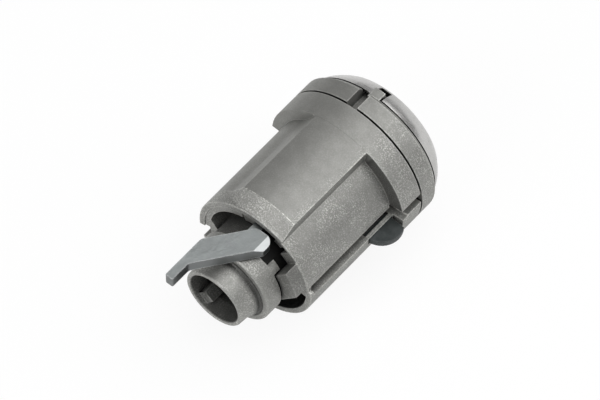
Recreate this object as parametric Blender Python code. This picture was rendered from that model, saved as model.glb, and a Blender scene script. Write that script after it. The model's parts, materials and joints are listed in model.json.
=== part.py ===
"""Ignition lock barrel: cast housing, key plug with wafers, shuttered face, drive sleeve, lever and catch.

Metres, +Z up. The barrel's axis is the Y axis, with the key face towards +Y. The origin is on the axis,
in the rear face of the flange, which is the face that seats on the steering column lock.
Angles are in degrees about the axis, from +Z towards +X.
"""

import math

import bmesh
import bpy
from mathutils import Matrix, Vector

# Clearances
GAP = 0.0003
PIN_GAP = 0.0002
HEAD_GAP = 0.0004

# How far a joined shape sinks into its carrier, and a cutter reaches past what it cuts
OVERLAP = 0.0015

# Turned shapes have this many sides
SIDES = 64
FACET = 360 / SIDES

# Housing casting
FLANGE_RADIUS = 0.01745
FLANGE_THICKNESS = 0.0058
BODY_RADIUS = 0.0148
BODY_LENGTH = 0.0260
PAD_STEP = 0.00005
PAD_SETBACK = 0.0032
PAD_FOOT_ANGLES = (-50.0, 30.0)
PAD_TOP_ANGLES = (-19.0, 25.7)
PAD_FLANK_ANGLE = -26.0
PAD_FLANK_RISE = 0.4
PANEL_DEPTH = 0.0007
WALL_THICKNESS = 0.0014
CAVITY_DEPTH = 0.0070
CHAMBER_RADIUS = 0.0094
FRONT_LAND = 0.0028
REAR_LAND = 0.00445
THICK_WALL_ANGLES = (40.0, 98.0)
REAR_WALL_ANGLES = (-138.0, -92.0)
REAR_WALL_LEAN = 17.0
LIP_THICKNESS = 0.0014
LIP_ANGLES = (-80.0, -16.0)

# Lug behind the panel, which the drive sleeve's tab stops against
LUG_WIDTH = 0.0060
LUG_OFFSET = 0.0058
LUG_ANGLE = 39.7

# Guide slots along the housing
GUIDE_ANGLE = 85.8
GUIDE_WIDTH = 0.0022
GUIDE_DEPTH = 0.0026
GUIDE_END_WALL = 0.0009
FLANGE_SLOT_ANGLE = 84.0
FLANGE_SLOT_WIDTH = 0.0026
FLANGE_GAP_ANGLES = (-111.0, -85.0)
REAR_GUIDE_ANGLE = -103.5
REAR_GUIDE_WIDTH = 0.0038

# Key plug
PLUG_RADIUS = 0.0076
PLUG_LAND = 0.0014
TAIL_RADIUS = 0.0059
TAIL_LENGTH = 0.0065
KEYWAY_WIDTH = 0.0026
KEYWAY_HEIGHT = 0.0088
KEYWAY_TIP = 0.0014

# Head of the plug, in front of the flange
HEAD_THICKNESS = 0.0040
HEAD_ROUND = 0.0008
HEAD_NOTCH_ANGLES = (-9.0, 0.0)
HEAD_NOTCH_DEPTH = 0.00285

# Stamped face cap
CAP_THICKNESS = 0.0006
CAP_STEP = 0.00085
CAP_TAPER = 0.0034
CAP_HEIGHT = 0.0046
CAP_ROUND = 0.0007
CAP_NOTCH_ANGLES = (-3.0, 7.6)
CAP_NOTCH_HEIGHT = 0.0038
CAP_LUG_STEP = 0.0005
CAP_LUG_LENGTH = 0.0016
KEY_SLOT_WIDTH = 0.0030
KEY_SLOT_HEIGHT = 0.0096

# Shutter behind the face cap
SHUTTER_WIDTH = 0.0050
SHUTTER_HEIGHT = 0.0104
SHUTTER_THICKNESS = 0.0008
SHUTTER_PIN_RADIUS = 0.00045
SHUTTER_PIN_LENGTH = 0.0142
SHUTTER_PIN_OFFSET = 0.0033
SHUTTER_KNUCKLE_RADIUS = 0.00095
SHUTTER_KNUCKLE_LENGTH = 0.0060

# Wafers
WAFER_COUNT = 8
WAFER_WEB = 0.00085
WAFER_WIDTH = 0.0072
WAFER_SETBACK = 0.0016
WAFER_WINDOW_WIDTH = 0.0029
WAFER_WINDOW_HEIGHT = 0.0080
WAFER_STEM_EDGE = 0.0022
WAFER_SHOULDER = 0.0014
WAFER_LEDGE = 0.0028
LOCKING_RIB_ANGLE = 10.0

# Clip that keeps the plug in the housing
CLIP_THICKNESS = 0.0008
CLIP_RADIUS = 0.0092
CLIP_INNER_RADIUS = 0.0068
CLIP_MOUTH = 60.0

# Drive sleeve on the plug's tail
SLEEVE_LENGTH = 0.0172
SLEEVE_RADIUS = 0.0094
SLEEVE_BORE = 0.0062
COLLAR_RADIUS = 0.0100
COLLAR_LENGTH = 0.0042
SPIGOT_LENGTH = 0.0052
SPIGOT_RIM_RADIUS = 0.0072
SPIGOT_RIM_ROUND = 0.00025
SPIGOT_WAIST_RADIUS = 0.0074
SPIGOT_ROOT_RADIUS = 0.0080
SPIGOT_ROOT_LENGTH = 0.0011
SPIGOT_FLARE_LENGTH = 0.0012
DRIVE_KEY_ANGLE = -142.0
DRIVE_KEY_WIDTH = 0.0028
DRIVE_KEY_HEIGHT = 0.0024
DRIVE_KEY_INSET = 0.0013
SLEEVE_TAB_ANGLES = (39.0, 54.0)
SLEEVE_TAB_LENGTH = 0.0020
SLEEVE_PIN_RADIUS = 0.0010
SLEEVE_PIN_INSET = 0.0036

# Release lever
LEVER_THICKNESS = 0.0027
LEVER_REACH = 0.0208
LEVER_BEND = 0.0097
LEVER_ARM_WIDTH = 0.0052
LEVER_ARM_ANGLE = 37.5
LEVER_HEAD_EDGE = 0.0054
LEVER_HEAD_ROUND = 0.0016
LEVER_HEAD_BEVEL = 0.0013
LEVER_BEVEL_DROP = 0.0009
LEVER_FINGER_EDGE = -0.0058
LEVER_FINGER_WIDTH = 0.0019
LEVER_LEG_WIDTH = 0.0022
LEVER_LEG_THICKNESS = 0.0022
LEVER_LEG_ROOT = 0.0030
LEVER_PIN_RADIUS = 0.0008
LEVER_PIN_INSET = 0.0025
LEVER_PIN_SEAT = 0.0014
LEVER_EAR_ANGLES = ((-21.0, -3.0), (24.0, 36.0))

# Retaining catch
CATCH_ANGLE = 95.0
CATCH_THICKNESS = 0.0016
CATCH_RADIUS = 0.0048
CATCH_CENTRE_DEPTH = 0.0009
CATCH_CENTRE_SETBACK = 0.0027
CATCH_FOOT_DEPTH = 0.0016
CATCH_POCKET_DEPTH = 0.0040
CATCH_BORE_RADIUS = 0.0005
CATCH_BORE_DEPTH = 0.0022

# Springs
WAFER_SPRING_SHARE = 0.35
WAFER_WIRE_SHARE = 0.1
SHUTTER_SPRING_RADIUS = 0.00098
SHUTTER_WIRE_RADIUS = 0.00018
LEVER_SPRING_RADIUS = 0.00115
LEVER_WIRE_RADIUS = 0.00018
CATCH_SPRING_RADIUS = 0.00030
CATCH_WIRE_RADIUS = 0.00010

# Radii that follow from the sizes
PAD_RADIUS = FLANGE_RADIUS - PAD_STEP
PANEL_RADIUS = BODY_RADIUS - PANEL_DEPTH
CAVITY_RADIUS = BODY_RADIUS - WALL_THICKNESS
LIP_RADIUS = CAVITY_RADIUS - LIP_THICKNESS
GUIDE_FLOOR = BODY_RADIUS - GUIDE_DEPTH
BORE_RADIUS = PLUG_RADIUS + GAP
SLEEVE_HOLE_RADIUS = SLEEVE_RADIUS + GAP
HEAD_NOTCH_FLOOR = FLANGE_RADIUS - HEAD_NOTCH_DEPTH
CAP_SKIRT_RADIUS = FLANGE_RADIUS - CAP_STEP
CAP_FACE_RADIUS = CAP_SKIRT_RADIUS - CAP_TAPER
CAP_LUG_RADIUS = FLANGE_RADIUS - CAP_LUG_STEP
CATCH_CENTRE_RADIUS = BODY_RADIUS - CATCH_CENTRE_DEPTH
CATCH_FOOT_RADIUS = BODY_RADIUS - CATCH_FOOT_DEPTH
CATCH_POCKET_FLOOR = BODY_RADIUS - CATCH_POCKET_DEPTH

# Places along the axis that follow from the sizes
FLANGE_FRONT = FLANGE_THICKNESS
BODY_REAR = -BODY_LENGTH
PAD_LENGTH = BODY_LENGTH - PAD_SETBACK
CAVITY_FLOOR = BODY_REAR + CAVITY_DEPTH
CHAMBER_FRONT = FLANGE_FRONT - FRONT_LAND
CHAMBER_REAR = CAVITY_FLOOR + REAR_LAND
WAFER_PITCH = (CHAMBER_FRONT - CHAMBER_REAR - 2 * WAFER_SETBACK) / (WAFER_COUNT - 1)
WAFER_THICKNESS = WAFER_PITCH - WAFER_WEB
WAFER_SPRING_RADIUS = WAFER_THICKNESS * WAFER_SPRING_SHARE
WAFER_WIRE_RADIUS = WAFER_THICKNESS * WAFER_WIRE_SHARE
HEAD_REAR = FLANGE_FRONT + HEAD_GAP
HEAD_FRONT = HEAD_REAR + HEAD_THICKNESS
CAP_REAR = HEAD_FRONT + HEAD_ROUND + GAP
CAP_FRONT = CAP_REAR + CAP_HEIGHT
FACE_FRONT = CAP_FRONT - CAP_THICKNESS - GAP
CLIP_FRONT = CAVITY_FLOOR - GAP
CLIP_REAR = CLIP_FRONT - CLIP_THICKNESS
PLUG_SHOULDER = CLIP_REAR - PLUG_LAND
TAIL_REAR = PLUG_SHOULDER - TAIL_LENGTH
SLEEVE_FRONT = PLUG_SHOULDER - GAP
SLEEVE_REAR = SLEEVE_FRONT - SLEEVE_LENGTH
COLLAR_REAR = SLEEVE_REAR + SPIGOT_LENGTH
COLLAR_FRONT = COLLAR_REAR + COLLAR_LENGTH
LUG_REAR = COLLAR_FRONT + GAP
SHUTTER_PIN_Y = FACE_FRONT - SHUTTER_KNUCKLE_RADIUS - GAP
POCKET_FLOOR = SHUTTER_PIN_Y - SHUTTER_WIDTH - GAP

# Places across the axis that follow from the sizes
LEVER_BOTTOM = COLLAR_RADIUS + GAP
LEVER_PIN_HEIGHT = LEVER_BOTTOM + LEVER_LEG_THICKNESS / 2
LEVER_PIN_Y = BODY_REAR + LEVER_PIN_INSET
OUTSIDE = FLANGE_RADIUS + 2 * OVERLAP

# Stands an outline up across the barrel's axis, so that its depth runs along the axis
UPRIGHT = Matrix(((1, 0, 0, 0), (0, 0, 1, 0), (0, 1, 0, 0), (0, 0, 0, 1)))


def clear_scene():
    for obj in list(bpy.data.objects):
        bpy.data.objects.remove(obj, do_unlink=True)


def make_material(name, colour, roughness, metallic):
    material = bpy.data.materials.new(name)
    material.use_nodes = True
    shader = material.node_tree.nodes["Principled BSDF"]
    shader.inputs["Base Color"].default_value = (*colour, 1.0)
    shader.inputs["Roughness"].default_value = roughness
    shader.inputs["Metallic"].default_value = metallic
    return material


def point(radius, angle, y):
    """A point at a radius and an angle about the barrel's axis."""
    turn = math.radians(angle)
    return Vector((radius * math.sin(turn), y, radius * math.cos(turn)))


def facet_point(radius, angle, y):
    """The same, but on the flat sides of a turned shape."""
    offset = (angle % FACET) - FACET / 2
    reach = radius * math.cos(math.radians(FACET / 2)) / math.cos(math.radians(offset))
    return point(reach, angle, y)


def arc(radius, start, end, y):
    """Points along a turned side from one angle to another, in either direction."""
    low, high = min(start, end), max(start, end)
    first = math.floor(low / FACET) + 1
    last = math.ceil(high / FACET) - 1
    angles = [low] + [i * FACET for i in range(first, last + 1)] + [high]
    if start > end:
        angles.reverse()
    return [facet_point(radius, angle, y) for angle in angles]


def make_object(name, mesh_data, material=None, origin=None):
    """Turns a bmesh in world space into an object, with its origin at a given point."""
    bmesh.ops.recalc_face_normals(mesh_data, faces=mesh_data.faces)
    mesh = bpy.data.meshes.new(name)
    mesh_data.to_mesh(mesh)
    mesh_data.free()
    obj = bpy.data.objects.new(name, mesh)
    bpy.context.scene.collection.objects.link(obj)
    if origin is not None:
        mesh.transform(Matrix.Translation(-Vector(origin)))
        obj.location = origin
    if material is not None:
        mesh.materials.append(material)
    mesh.shade_smooth()
    mesh.set_sharp_from_angle(angle=math.radians(30))
    return obj


def loft(sections):
    """A closed skin over rings of points that match in number."""
    skin = bmesh.new()
    rings = [[skin.verts.new(p) for p in section] for section in sections]
    count = len(rings[0])
    for back, front in zip(rings, rings[1:]):
        for i in range(count):
            j = (i + 1) % count
            skin.faces.new((back[i], back[j], front[j], front[i]))
    skin.faces.new(rings[0])
    skin.faces.new(rings[-1])
    return skin


def turned(profile, closed):
    """Spins (radius, y) points about the barrel's axis. A closed profile makes a ring."""
    solid = bmesh.new()
    verts = [solid.verts.new((0.0, y, radius)) for radius, y in profile]
    edges = [solid.edges.new(pair) for pair in zip(verts, verts[1:])]
    if closed:
        edges.append(solid.edges.new((verts[-1], verts[0])))
    bmesh.ops.spin(
        solid,
        geom=verts + edges,
        cent=(0.0, 0.0, 0.0),
        axis=(0.0, 1.0, 0.0),
        angle=2 * math.pi,
        steps=SIDES,
        use_merge=True,
    )
    bmesh.ops.remove_doubles(solid, verts=solid.verts, dist=1e-7)
    return solid


def bend(start, pull, end, steps=5):
    """Points between two ends of a curve that leans towards a third point, without the ends."""
    shares = [i / steps for i in range(1, steps)]
    return [start * (1 - s) ** 2 + pull * (2 * s * (1 - s)) + end * s**2 for s in shares]


def sector(y_low, y_high, inner, outer):
    """A wedge of a ring. Inner and outer are (radius, start angle, end angle)."""
    count = 2 + round(abs(outer[2] - outer[1]) / FACET)

    def ring(y):
        steps = [i / (count - 1) for i in range(count)]
        inside = [point(inner[0], inner[1] + (inner[2] - inner[1]) * s, y) for s in steps]
        outside = [point(outer[0], outer[1] + (outer[2] - outer[1]) * s, y) for s in steps]
        return inside + outside[::-1]

    return loft([ring(y_low), ring(y_high)])


def box(low, high, angle=0.0):
    """A box between two corners, turned about the barrel's axis."""
    solid = bmesh.new()
    size = Vector(high) - Vector(low)
    middle = (Vector(high) + Vector(low)) / 2
    turn = Matrix.Rotation(math.radians(angle), 4, "Y")
    place = turn @ Matrix.Translation(middle) @ Matrix.Diagonal((*size, 1.0))
    bmesh.ops.create_cube(solid, size=1.0, matrix=place)
    return solid


def cylinder(start, end, radius, sides=24):
    """A round bar between two points."""
    solid = bmesh.new()
    along = Vector(end) - Vector(start)
    turn = along.to_track_quat("Z", "Y").to_matrix().to_4x4()
    place = Matrix.Translation((Vector(start) + Vector(end)) / 2) @ turn
    bmesh.ops.create_cone(
        solid,
        cap_ends=True,
        segments=sides,
        radius1=radius,
        radius2=radius,
        depth=along.length,
        matrix=place,
    )
    return solid


def prism(outline, low, high, place):
    """Extrudes a flat outline from low to high, then places it with a matrix."""
    rings = [[place @ Vector((u, v, n)) for u, v in outline] for n in (low, high)]
    return loft(rings)


def as_tool(name, mesh_data):
    """A hidden shape that only cuts or joins another."""
    obj = make_object(name, mesh_data)
    obj.hide_render = True
    obj.display_type = "WIRE"
    return obj


def combine(target, operation, name, mesh_data):
    modifier = target.modifiers.new(name, "BOOLEAN")
    modifier.operation = operation
    modifier.object = as_tool(f"{target.name}_{name}", mesh_data)
    modifier.solver = "EXACT"


def cut(target, name, mesh_data):
    combine(target, "DIFFERENCE", name, mesh_data)


def join(target, name, mesh_data):
    combine(target, "UNION", name, mesh_data)


def coil(name, material, path, wire_radius, sides=5):
    """A wire along a list of points, with flat ends."""
    solid = bmesh.new()
    rings = []
    for i, centre in enumerate(path):
        ahead = path[min(i + 1, len(path) - 1)] - path[max(i - 1, 0)]
        side = ahead.cross(Vector((0.31, 0.55, 0.78))).normalized()
        up = ahead.cross(side).normalized()
        turns = [2 * math.pi * k / sides for k in range(sides)]
        ring = [centre + (side * math.cos(t) + up * math.sin(t)) * wire_radius for t in turns]
        rings.append([solid.verts.new(p) for p in ring])
    for back, front in zip(rings, rings[1:]):
        for i in range(sides):
            j = (i + 1) % sides
            solid.faces.new((back[i], back[j], front[j], front[i]))
    solid.faces.new(rings[0])
    solid.faces.new(rings[-1])
    return make_object(name, solid, material)


def helix(start, end, radius, turns, steps=10):
    """Points of a coil that winds from one end of a line to the other."""
    along = Vector(end) - Vector(start)
    side = along.orthogonal().normalized()
    up = along.normalized().cross(side)
    points = []
    for i in range(round(turns * steps) + 1):
        share = i / (turns * steps)
        t = 2 * math.pi * i / steps
        points.append(Vector(start) + along * share + (side * math.cos(t) + up * math.sin(t)) * radius)
    return points


def make_housing(material):
    """The zinc casting: a flanged barrel with a raised pad, a sunk panel and guide slots."""
    profile = [
        (BODY_RADIUS, BODY_REAR),
        (BODY_RADIUS, 0.0),
        (FLANGE_RADIUS, 0.0),
        (FLANGE_RADIUS, FLANGE_FRONT),
        (BORE_RADIUS, FLANGE_FRONT),
        (BORE_RADIUS, CHAMBER_FRONT),
        (CHAMBER_RADIUS, CHAMBER_FRONT),
        (CHAMBER_RADIUS, CHAMBER_REAR),
        (BORE_RADIUS, CHAMBER_REAR),
        (BORE_RADIUS, CAVITY_FLOOR),
        (CAVITY_RADIUS, CAVITY_FLOOR),
        (CAVITY_RADIUS, BODY_REAR),
    ]
    housing = make_object("housing", turned(profile, closed=True), material)

    def pad_ring(y, top):
        """The panel's cutter trims the pad's right wall, so the pad is made wider there."""
        spare = math.degrees(OVERLAP / BODY_RADIUS)
        inside = arc(BODY_RADIUS - 2 * GAP, PAD_FOOT_ANGLES[0], PAD_FOOT_ANGLES[1] + spare, y)
        share = [i / (len(inside) - 1) for i in range(len(inside))]
        start, end = PAD_TOP_ANGLES[0], PAD_TOP_ANGLES[1] + spare
        outside = [point(top, start + (end - start) * s, y) for s in share]
        hollow = point(BODY_RADIUS + (top - BODY_RADIUS) * PAD_FLANK_RISE, PAD_FLANK_ANGLE, y)
        flank = bend(outside[0], hollow, inside[0])
        return inside + outside[::-1] + flank

    pad = loft(
        [
            pad_ring(BODY_REAR + GAP, BODY_RADIUS - GAP),
            pad_ring(-PAD_LENGTH, PAD_RADIUS),
            pad_ring(OVERLAP, PAD_RADIUS),
        ]
    )
    join(housing, "pad", pad)

    low = (SLEEVE_HOLE_RADIUS + GAP, *THICK_WALL_ANGLES)
    high = (CAVITY_RADIUS + GAP, *THICK_WALL_ANGLES)
    join(housing, "thick_wall", sector(BODY_REAR + GAP, CAVITY_FLOOR + OVERLAP, low, high))
    start, end = REAR_WALL_ANGLES
    low = (SLEEVE_HOLE_RADIUS + GAP, start, end)
    high = (CAVITY_RADIUS + GAP, start, end + REAR_WALL_LEAN)
    join(housing, "rear_wall", sector(BODY_REAR + GAP, CAVITY_FLOOR + OVERLAP, low, high))
    low = (LIP_RADIUS, *LIP_ANGLES)
    high = (CAVITY_RADIUS + PIN_GAP, *LIP_ANGLES)
    join(housing, "lip", sector(BODY_REAR + PIN_GAP, CAVITY_FLOOR + OVERLAP - GAP, low, high))
    join(housing, "lug", make_lug())
    for number, angles in enumerate(LEVER_EAR_ANGLES, 1):
        ear_rear = LEVER_PIN_Y - LEVER_PIN_RADIUS - PIN_GAP - GAP
        low = (SLEEVE_HOLE_RADIUS, *angles)
        high = (CAVITY_RADIUS + GAP, *angles)
        join(housing, f"ear_{number}", sector(ear_rear, CAVITY_FLOOR + OVERLAP, low, high))
    for number, angle in enumerate(locking_rib_angles(), 1):
        angles = (angle - LOCKING_RIB_ANGLE / 2, angle + LOCKING_RIB_ANGLE / 2)
        rib = sector(
            CHAMBER_REAR - OVERLAP,
            CHAMBER_FRONT + OVERLAP,
            (BORE_RADIUS + PIN_GAP / 2, *angles),
            (CHAMBER_RADIUS + GAP, *angles),
        )
        join(housing, f"locking_rib_{number}", rib)

    past_rear = BODY_REAR - OVERLAP
    past_front = FLANGE_FRONT + OVERLAP
    foot = point(PANEL_RADIUS, PAD_FOOT_ANGLES[1], 0.0)
    top = point(PAD_RADIUS, PAD_TOP_ANGLES[1], 0.0)
    past = foot + (top - foot) * 2
    past_angle = math.degrees(math.atan2(past.x, past.z))
    panel = sector(
        past_rear,
        0.0,
        (PANEL_RADIUS, PAD_FOOT_ANGLES[1], GUIDE_ANGLE),
        (past.length, past_angle, GUIDE_ANGLE),
    )
    cut(housing, "panel", panel)
    slot = slot_cutter(BODY_REAR + GUIDE_END_WALL, OVERLAP, GUIDE_FLOOR, GUIDE_WIDTH, GUIDE_ANGLE)
    cut(housing, "guide_slot", slot)
    notch = slot_cutter(-PIN_GAP, past_front, GUIDE_FLOOR + GAP, FLANGE_SLOT_WIDTH, FLANGE_SLOT_ANGLE)
    cut(housing, "flange_slot", notch)
    angles = FLANGE_GAP_ANGLES
    flange_gap = sector(-GAP, past_front, (BODY_RADIUS + PIN_GAP, *angles), (OUTSIDE, *angles))
    cut(housing, "flange_gap", flange_gap)
    rear_slot = slot_cutter(past_rear, OVERLAP, GUIDE_FLOOR, REAR_GUIDE_WIDTH, REAR_GUIDE_ANGLE)
    cut(housing, "rear_guide_slot", rear_slot)

    width = CATCH_THICKNESS + 2 * GAP
    pocket = slot_cutter(catch_rear() - GAP, -GAP, CATCH_POCKET_FLOOR, width, CATCH_ANGLE)
    cut(housing, "catch_pocket", pocket)
    start, end = lever_pin_ends()
    spare = Vector((GAP, 0.0, 0.0))
    pin_hole = cylinder(start - spare, end + spare, LEVER_PIN_RADIUS + PIN_GAP)
    cut(housing, "lever_pin_hole", pin_hole)
    return housing


def slot_cutter(y_low, y_high, floor_radius, width, angle):
    """A block that cuts a slot with parallel sides into the casting from outside."""
    return box((-width / 2, y_low, floor_radius), (width / 2, y_high, OUTSIDE), angle)


def locking_rib_angles():
    """The ribs stand beside the wafers' tips, so that a wafer pushed out can't turn."""
    side = math.degrees(math.asin((WAFER_WIDTH / 2 + GAP) / BORE_RADIUS)) + LOCKING_RIB_ANGLE / 2
    return (side, -side, 180 - side, side - 180)


def make_lug():
    """A block with parallel sides behind the panel, between two turned faces."""
    turn = math.radians(LUG_ANGLE)
    inner, outer = SLEEVE_HOLE_RADIUS, PANEL_RADIUS - PIN_GAP
    low, high = LUG_OFFSET - LUG_WIDTH / 2, LUG_OFFSET + LUG_WIDTH / 2

    def edge(radius, start, end):
        steps = [i / 6 for i in range(7)]
        return [(start + (end - start) * s, radius) for s in steps]

    outline = []
    for offset, radius in edge(inner, low, high) + edge(outer, high, low):
        depth = math.sqrt(radius**2 - offset**2)
        x = offset * math.cos(turn) + depth * math.sin(turn)
        z = depth * math.cos(turn) - offset * math.sin(turn)
        outline.append((x, z))
    rings = [[Vector((x, y, z)) for x, z in outline] for y in (LUG_REAR, BODY_REAR + OVERLAP)]
    return loft(rings)


def cap_profile(inset):
    """The face cap's side and front, moved inwards by an inset, as (radius, y) points."""
    slope = math.atan2(CAP_SKIRT_RADIUS - CAP_FACE_RADIUS, CAP_HEIGHT)
    rim = CAP_SKIRT_RADIUS - inset / math.cos(slope)
    front = CAP_FRONT - inset
    corner = rim - (front - CAP_REAR) * math.tan(slope)
    outline = rounded([(rim, CAP_REAR, 0.0), (corner, front, CAP_ROUND), (0.0, front, 0.0)], 3)
    return outline[:-1]


def make_plug(material):
    """The zinc plug: tail, wafer core and the head that carries the face cap."""
    under_cap = cap_profile(CAP_THICKNESS + GAP)
    groove = CLIP_INNER_RADIUS - PIN_GAP
    profile = [
        (0.0, TAIL_REAR),
        (TAIL_RADIUS, TAIL_REAR),
        (TAIL_RADIUS, PLUG_SHOULDER),
        (PLUG_RADIUS, PLUG_SHOULDER),
        (PLUG_RADIUS, CLIP_REAR - PIN_GAP),
        (groove, CLIP_REAR - PIN_GAP),
        (groove, CLIP_FRONT + PIN_GAP),
        (PLUG_RADIUS, CLIP_FRONT + PIN_GAP),
        (PLUG_RADIUS, HEAD_REAR),
        (FLANGE_RADIUS, HEAD_REAR),
        (FLANGE_RADIUS, HEAD_FRONT),
        (FLANGE_RADIUS - HEAD_ROUND, HEAD_FRONT + HEAD_ROUND),
        (under_cap[0][0], HEAD_FRONT + HEAD_ROUND),
        *under_cap,
        (0.0, under_cap[-1][1]),
    ]
    plug = make_object("plug", turned(profile, closed=False), material)
    half_width = KEYWAY_WIDTH / 2
    half_height = KEYWAY_HEIGHT / 2
    keyway_end = CHAMBER_REAR - KEYWAY_TIP
    keyway = box((-half_width, keyway_end, -half_height), (half_width, POCKET_FLOOR + GAP, half_height))
    cut(plug, "keyway", keyway)

    left = -SHUTTER_PIN_OFFSET - SHUTTER_KNUCKLE_RADIUS - GAP
    right = SHUTTER_WIDTH - SHUTTER_PIN_OFFSET + GAP
    tall = SHUTTER_HEIGHT / 2 + GAP
    cut(plug, "shutter_pocket", box((left, POCKET_FLOOR, -tall), (right, CAP_FRONT, tall)))
    half_pin = SHUTTER_PIN_LENGTH / 2 + GAP
    pin_hole = cylinder(
        (-SHUTTER_PIN_OFFSET, SHUTTER_PIN_Y, -half_pin),
        (-SHUTTER_PIN_OFFSET, SHUTTER_PIN_Y, half_pin),
        SHUTTER_PIN_RADIUS + PIN_GAP,
    )
    cut(plug, "shutter_pin_hole", pin_hole)

    for number in range(1, WAFER_COUNT + 1):
        half = WAFER_WIDTH / 2 + GAP
        thick = WAFER_THICKNESS / 2 + PIN_GAP
        y = wafer_y(number)
        turn = wafer_angle(number)
        stem = WAFER_STEM_EDGE + GAP
        slot = box((-half, y - thick, -PLUG_RADIUS), (stem, y + thick, PLUG_RADIUS), turn)
        cut(plug, f"wafer_slot_{number}", slot)
        seat = box((stem - GAP, y - thick, -WAFER_LEDGE), (half, y + thick, PLUG_RADIUS), turn)
        cut(plug, f"spring_seat_{number}", seat)

    notch = sector(
        HEAD_REAR - PIN_GAP,
        CAP_FRONT,
        (HEAD_NOTCH_FLOOR, *HEAD_NOTCH_ANGLES),
        (OUTSIDE, *HEAD_NOTCH_ANGLES),
    )
    cut(plug, "head_notch", notch)
    spare = math.degrees(GAP / CAP_LUG_RADIUS)
    angles = (CAP_NOTCH_ANGLES[0] + spare, CAP_NOTCH_ANGLES[1] - spare)
    lug = sector(
        HEAD_FRONT,
        CAP_REAR + CAP_LUG_LENGTH,
        (CAP_FACE_RADIUS - CAP_THICKNESS, *angles),
        (CAP_LUG_RADIUS, *angles),
    )
    join(plug, "cap_lug", lug)
    sleeve_pin = sleeve_pin_ends(GAP)
    cut(plug, "sleeve_pin_hole", cylinder(*sleeve_pin, SLEEVE_PIN_RADIUS + PIN_GAP))
    return plug


def wafer_y(number):
    return CHAMBER_FRONT - WAFER_SETBACK - (number - 1) * WAFER_PITCH


def wafer_angle(number):
    """Every second wafer is turned over, so that it locks on the other side."""
    return 180.0 * ((number - 1) % 2)


def make_plug_clip(material):
    """An open ring in the plug's groove, behind the housing's rear land."""
    start, end = CLIP_MOUTH / 2 - 180, 180 - CLIP_MOUTH / 2
    rings = []
    for y in (CLIP_REAR, CLIP_FRONT):
        rings.append(arc(CLIP_INNER_RADIUS, start, end, y) + arc(CLIP_RADIUS, end, start, y))
    return make_object("plug_clip", loft(rings), material)


def make_face_cap(material):
    """A stamped cup over the head, with the key slot and a notch in its skirt."""
    outside = cap_profile(0.0)
    inside = cap_profile(CAP_THICKNESS)
    profile = [(0.0, outside[-1][1]), *outside[::-1], *inside, (0.0, inside[-1][1])]
    cap = make_object("face_cap", turned(profile, closed=False), material)
    half = KEY_SLOT_WIDTH / 2
    rise = KEY_SLOT_HEIGHT / 2 - half
    outline = []
    for i in range(9):
        t = math.pi * i / 8
        outline.append((half * math.cos(t), rise + half * math.sin(t)))
    for i in range(9):
        t = math.pi * (1 + i / 8)
        outline.append((half * math.cos(t), -rise + half * math.sin(t)))
    cut(cap, "key_slot", prism(outline, FACE_FRONT, CAP_FRONT + OVERLAP, UPRIGHT))
    notch = sector(
        CAP_REAR - GAP,
        CAP_REAR + CAP_NOTCH_HEIGHT,
        (CAP_FACE_RADIUS - CAP_THICKNESS, *CAP_NOTCH_ANGLES),
        (OUTSIDE, *CAP_NOTCH_ANGLES),
    )
    cut(cap, "skirt_notch", notch)
    return cap


def make_shutter(material):
    """The flap behind the key slot, with a knuckle round its pin."""
    pin = Vector((-SHUTTER_PIN_OFFSET, SHUTTER_PIN_Y, 0.0))
    tall = SHUTTER_HEIGHT / 2
    knuckle_top = -tall + SHUTTER_KNUCKLE_LENGTH
    lip = SHUTTER_SPRING_RADIUS + SHUTTER_WIRE_RADIUS + GAP
    front = pin.y + SHUTTER_KNUCKLE_RADIUS
    flap = box(
        (pin.x + lip, front - SHUTTER_THICKNESS, -tall),
        (pin.x + SHUTTER_WIDTH - GAP, front, tall),
    )
    shutter = make_object("shutter", flap, material, pin)
    web = box((pin.x, front - SHUTTER_THICKNESS, -tall), (pin.x + lip + GAP, front, knuckle_top))
    join(shutter, "web", web)
    knuckle = cylinder(
        pin + Vector((0, 0, -tall)),
        (pin.x, pin.y, knuckle_top),
        SHUTTER_KNUCKLE_RADIUS,
    )
    join(shutter, "knuckle", knuckle)
    hole_end = Vector((0, 0, tall + GAP))
    cut(shutter, "pin_hole", cylinder(pin - hole_end, pin + hole_end, SHUTTER_PIN_RADIUS + PIN_GAP))
    return shutter


def make_shutter_pin(material):
    half = Vector((0, 0, SHUTTER_PIN_LENGTH / 2))
    pin = Vector((-SHUTTER_PIN_OFFSET, SHUTTER_PIN_Y, 0.0))
    return make_object("shutter_pin", cylinder(pin - half, pin + half, SHUTTER_PIN_RADIUS, 16), material)


def make_shutter_spring(material):
    """A torsion coil round the pin, above the knuckle."""
    tall = SHUTTER_HEIGHT / 2
    low = -tall + SHUTTER_KNUCKLE_LENGTH + SHUTTER_WIRE_RADIUS + GAP
    high = tall - SHUTTER_WIRE_RADIUS - GAP
    start = Vector((-SHUTTER_PIN_OFFSET, SHUTTER_PIN_Y, low))
    end = Vector((-SHUTTER_PIN_OFFSET, SHUTTER_PIN_Y, high))
    path = helix(start, end, SHUTTER_SPRING_RADIUS, 5, 8)
    return coil("shutter_spring", material, path, SHUTTER_WIRE_RADIUS)


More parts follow.
